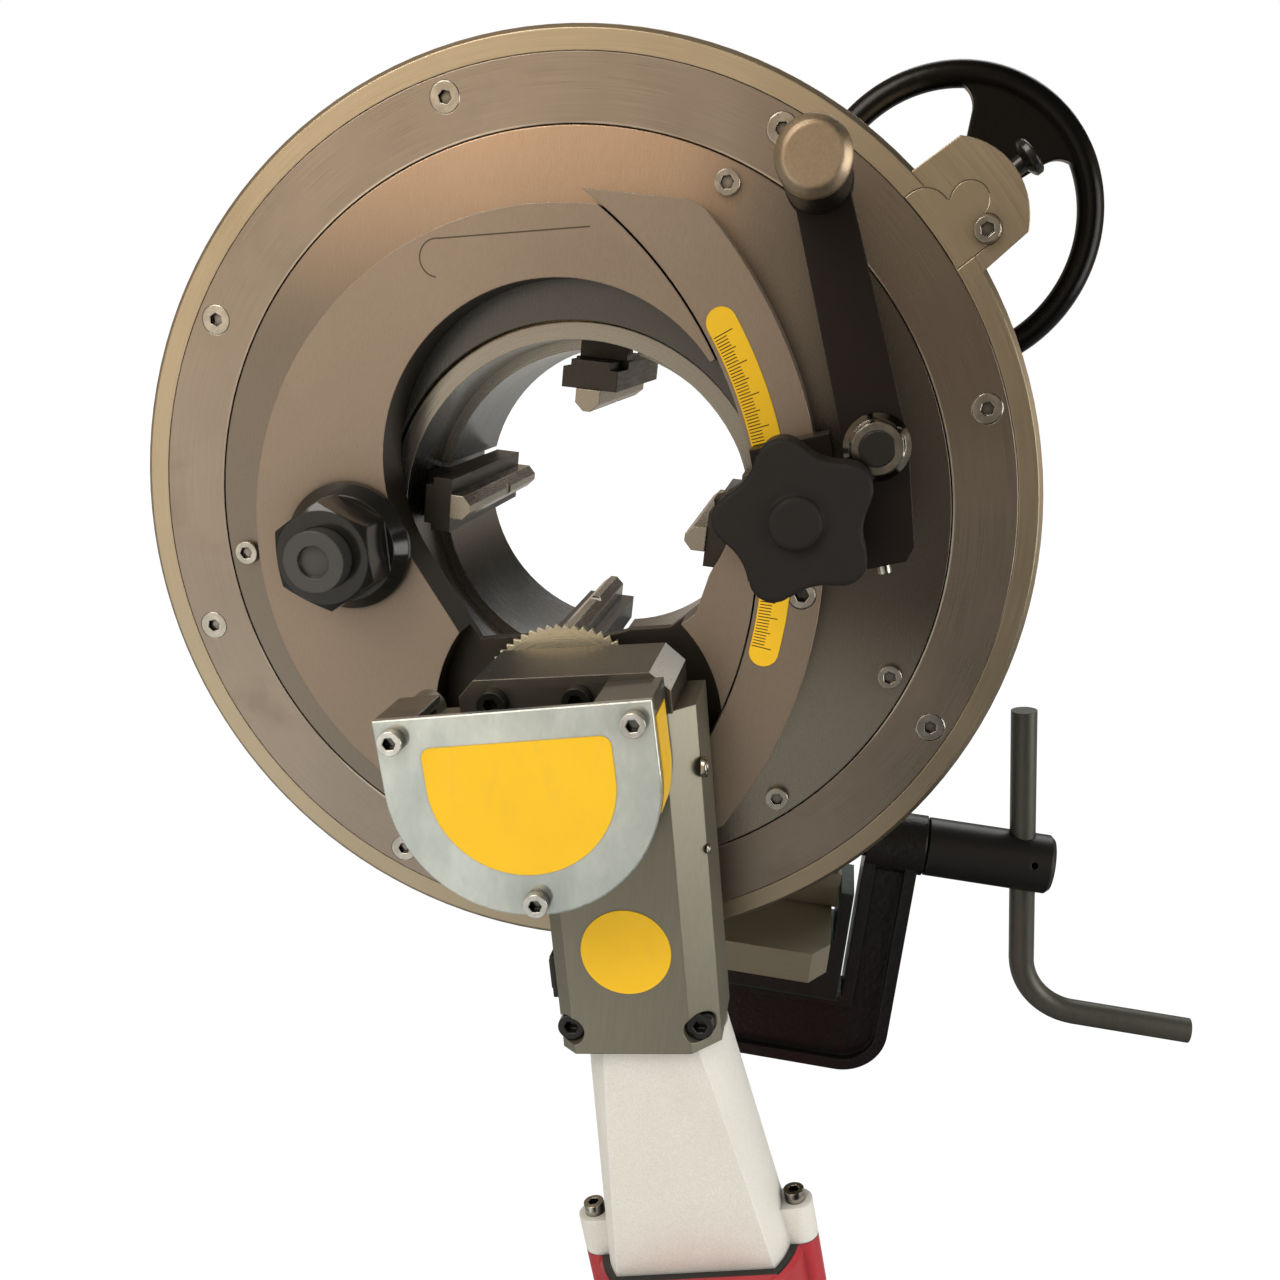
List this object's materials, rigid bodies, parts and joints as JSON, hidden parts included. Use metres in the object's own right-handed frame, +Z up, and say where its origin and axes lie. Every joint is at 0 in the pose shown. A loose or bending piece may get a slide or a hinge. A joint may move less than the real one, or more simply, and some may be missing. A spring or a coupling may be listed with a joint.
{
  "type": "orbital pipe cutter",
  "caption": "Orbital pipe cutter: a drum with a self-centring jaw chuck, a rotor with a swinging motor-driven saw head, a scale plate, a turning lever, a handwheel and a clamp stand.",
  "frame": {"origin": "on the pipe axis, in the plane of the drum's front rim", "axes": "+Y along the pipe axis from the front to the back, +X to the right seen from the front, +Z up"},
  "size_m": [0.4137, 0.2204, 0.5658],
  "materials": {
    "black_oxide": "black oxide, slightly glossy",
    "black_plastic": "matte moulded plastic",
    "blade_steel": "pale gold coated tool steel",
    "bright_screw": "bright zinc plated",
    "bronze": "plain turned bronze",
    "bronzed_steel": "satin brown-grey coat with turned brushing",
    "cast_alu": "sand-cast silver",
    "cast_black": "black painted casting",
    "crank_steel": "drawn rod, grey-olive",
    "dark_steel": "turned and darkened steel",
    "foot_steel": "milled plate",
    "gear_case": "milled dark grey steel",
    "gear_steel": "cut gear steel, lightly oiled",
    "green_paint": "dark green paint",
    "grip_grey": "turned warm grey metal",
    "guard_steel": "polished sheet steel",
    "head_steel": "brushed bright steel",
    "jaw_insert": "ground steel",
    "jaw_steel": "hardened dark steel",
    "lever_black": "black coat with brown sheen",
    "plate_steel": "satin ground plate",
    "red_plastic": "red moulded case",
    "warm_steel": "straight brushed steel with a warm tone",
    "wheel_black": "glossy black moulding"
  },
  "bodies": {
    "drum": {"drum_housing": "bronzed_steel", "retaining_ring": "dark_steel", "retaining_screws": "bright_screw", "rear_cover": "bronzed_steel", "rear_cover_screws": "black_oxide", "pinion_cover": "bronzed_steel", "pinion_cover_screw": "bright_screw", "pinion_bushes": "bronze", "foot_bracket": "foot_steel", "bracket_screws": "black_oxide", "foot_plate": "foot_steel", "foot_screws": "black_oxide", "clamp_saddle": "green_paint", "clamp_frame": "cast_black"},
    "cam": {"cam_ring": "gear_steel"},
    "wheel": {"handwheel": "wheel_black", "pinion_shaft": "gear_steel", "handwheel_nut": "black_oxide"},
    "jaw_right": {"jaw_slide_right": "jaw_steel", "jaw_bar_right": "jaw_insert"},
    "jaw_top": {"jaw_slide_top": "jaw_steel", "jaw_bar_top": "jaw_insert"},
    "jaw_left": {"jaw_slide_left": "jaw_steel", "jaw_bar_left": "jaw_insert"},
    "jaw_bottom": {"jaw_slide_bottom": "jaw_steel", "jaw_bar_bottom": "jaw_insert"},
    "plunger": {"brake_plunger": "black_oxide"},
    "pad": {"pressure_pad": "black_oxide"},
    "spindle": {"clamp_spindle": "black_oxide", "clamp_crank": "crank_steel"},
    "rotor": {"rotor_disc": "warm_steel", "rotor_bush": "bronze", "rotor_screws": "bright_screw", "scale_plate": "plate_steel", "scale_screws": "bright_screw", "pivot_stud": "black_oxide", "pivot_nut": "black_oxide", "lever_stud": "black_oxide", "lever_nut": "bright_screw"},
    "lever": {"lever_arm": "lever_black", "grip_spindle": "gear_steel"},
    "grip": {"lever_grip": "grip_grey"},
    "swing": {"swing_plate": "plate_steel", "pivot_bush": "bronze", "head_block": "head_steel", "gear_housing": "gear_case", "gear_housing_screws": "black_oxide", "head_plate_screws": "bright_screw", "arbor_bushes": "bronze", "blade_guard": "guard_steel", "guard_screws": "bright_screw", "motor_nose": "cast_alu", "motor_screws": "bright_screw", "motor_body": "red_plastic", "lock_block": "lever_black"},
    "knob": {"star_knob": "black_plastic"},
    "blade": {"saw_blade": "blade_steel", "blade_arbor": "gear_steel"},
    "worm": {"worm_shaft": "gear_steel"},
    "switch": {"motor_switch": "black_plastic"}
  },
  "joints": [
    {"name": "rotor_turn", "type": "hinge", "parent": "drum", "child": "rotor", "pos_m": [0, 0, 0], "axis": [0, -1, 0], "continuous": true},
    {"name": "swing_feed", "type": "hinge", "parent": "rotor", "child": "swing", "pos_m": [-0.07, -0.01, -0.013], "axis": [0, -1, 0], "range_deg": [-15, 14]},
    {"name": "knob_turn", "type": "hinge", "parent": "swing", "child": "knob", "pos_m": [0.07329, -0.05, 0.01982], "axis": [0, -1, 0], "range_deg": [-180, 180]},
    {"name": "lever_set", "type": "hinge", "parent": "rotor", "child": "lever", "pos_m": [0.0925, -0.04, 0.0406], "axis": [0, -1, 0], "range_deg": [-12, 8]},
    {"name": "grip_spin", "type": "hinge", "parent": "lever", "child": "grip", "pos_m": [0.0663, -0.08, 0.1085], "axis": [0, -1, 0], "continuous": true},
    {"name": "blade_spin", "type": "hinge", "parent": "swing", "child": "blade", "pos_m": [0.0059, -0.03, -0.0623], "axis": [0, 1, 0], "continuous": true},
    {"name": "worm_spin", "type": "hinge", "parent": "swing", "child": "worm", "pos_m": [0.03142, -0.033, -0.05734], "axis": [-0.1908, 0, 0.9816], "continuous": true},
    {"name": "switch_slide", "type": "slide", "parent": "swing", "child": "switch", "axis": [0.284, 0, -0.9588], "range_m": [0, 0.006]},
    {"name": "cam_turn", "type": "hinge", "parent": "drum", "child": "cam", "pos_m": [0, 0.045, 0], "axis": [0, -1, 0], "range_deg": [-20, 88]},
    {"name": "wheel_turn", "type": "hinge", "parent": "drum", "child": "wheel", "pos_m": [0.10889, 0.05, 0.10889], "axis": [0, -1, 0], "range_deg": [-956, 218]},
    {"name": "plunger_pull", "type": "slide", "parent": "drum", "child": "plunger", "axis": [0.7071, 0, 0.7071], "range_m": [0, 0.005], "stiffness_N_per_m": 400, "springref_m": -0.004},
    {"name": "pad_slide", "type": "slide", "parent": "drum", "child": "pad", "axis": [1, 0, 0], "range_m": [0, 0.0081]},
    {"name": "spindle_turn", "type": "hinge", "parent": "pad", "child": "spindle", "pos_m": [0.15, 0.097, -0.132], "axis": [1, 0, 0], "range_deg": [0, 720]},
    {"name": "jaw_right_slide", "type": "slide", "parent": "drum", "child": "jaw_right", "axis": [1, 0, 0], "range_m": [-0.0221, 0.0051]},
    {"name": "jaw_top_slide", "type": "slide", "parent": "drum", "child": "jaw_top", "axis": [0, 0, 1], "range_m": [-0.0221, 0.0051]},
    {"name": "jaw_left_slide", "type": "slide", "parent": "drum", "child": "jaw_left", "axis": [-1, 0, 0], "range_m": [-0.0221, 0.0051]},
    {"name": "jaw_bottom_slide", "type": "slide", "parent": "drum", "child": "jaw_bottom", "axis": [0, 0, -1], "range_m": [-0.0221, 0.0051]}
  ],
  "couplings": [
    {"joint": "wheel_turn", "follows": "cam_turn", "ratio": -10.846},
    {"joint": "worm_spin", "follows": "blade_spin", "ratio": 30},
    {"joint": "pad_slide", "follows": "spindle_turn", "m_per_rad": 0.00063662},
    {"joint": "jaw_right_slide", "follows": "cam_turn", "m_per_rad": -0.014324},
    {"joint": "jaw_top_slide", "follows": "cam_turn", "m_per_rad": -0.014324},
    {"joint": "jaw_left_slide", "follows": "cam_turn", "m_per_rad": -0.014324},
    {"joint": "jaw_bottom_slide", "follows": "cam_turn", "m_per_rad": -0.014324}
  ]
}
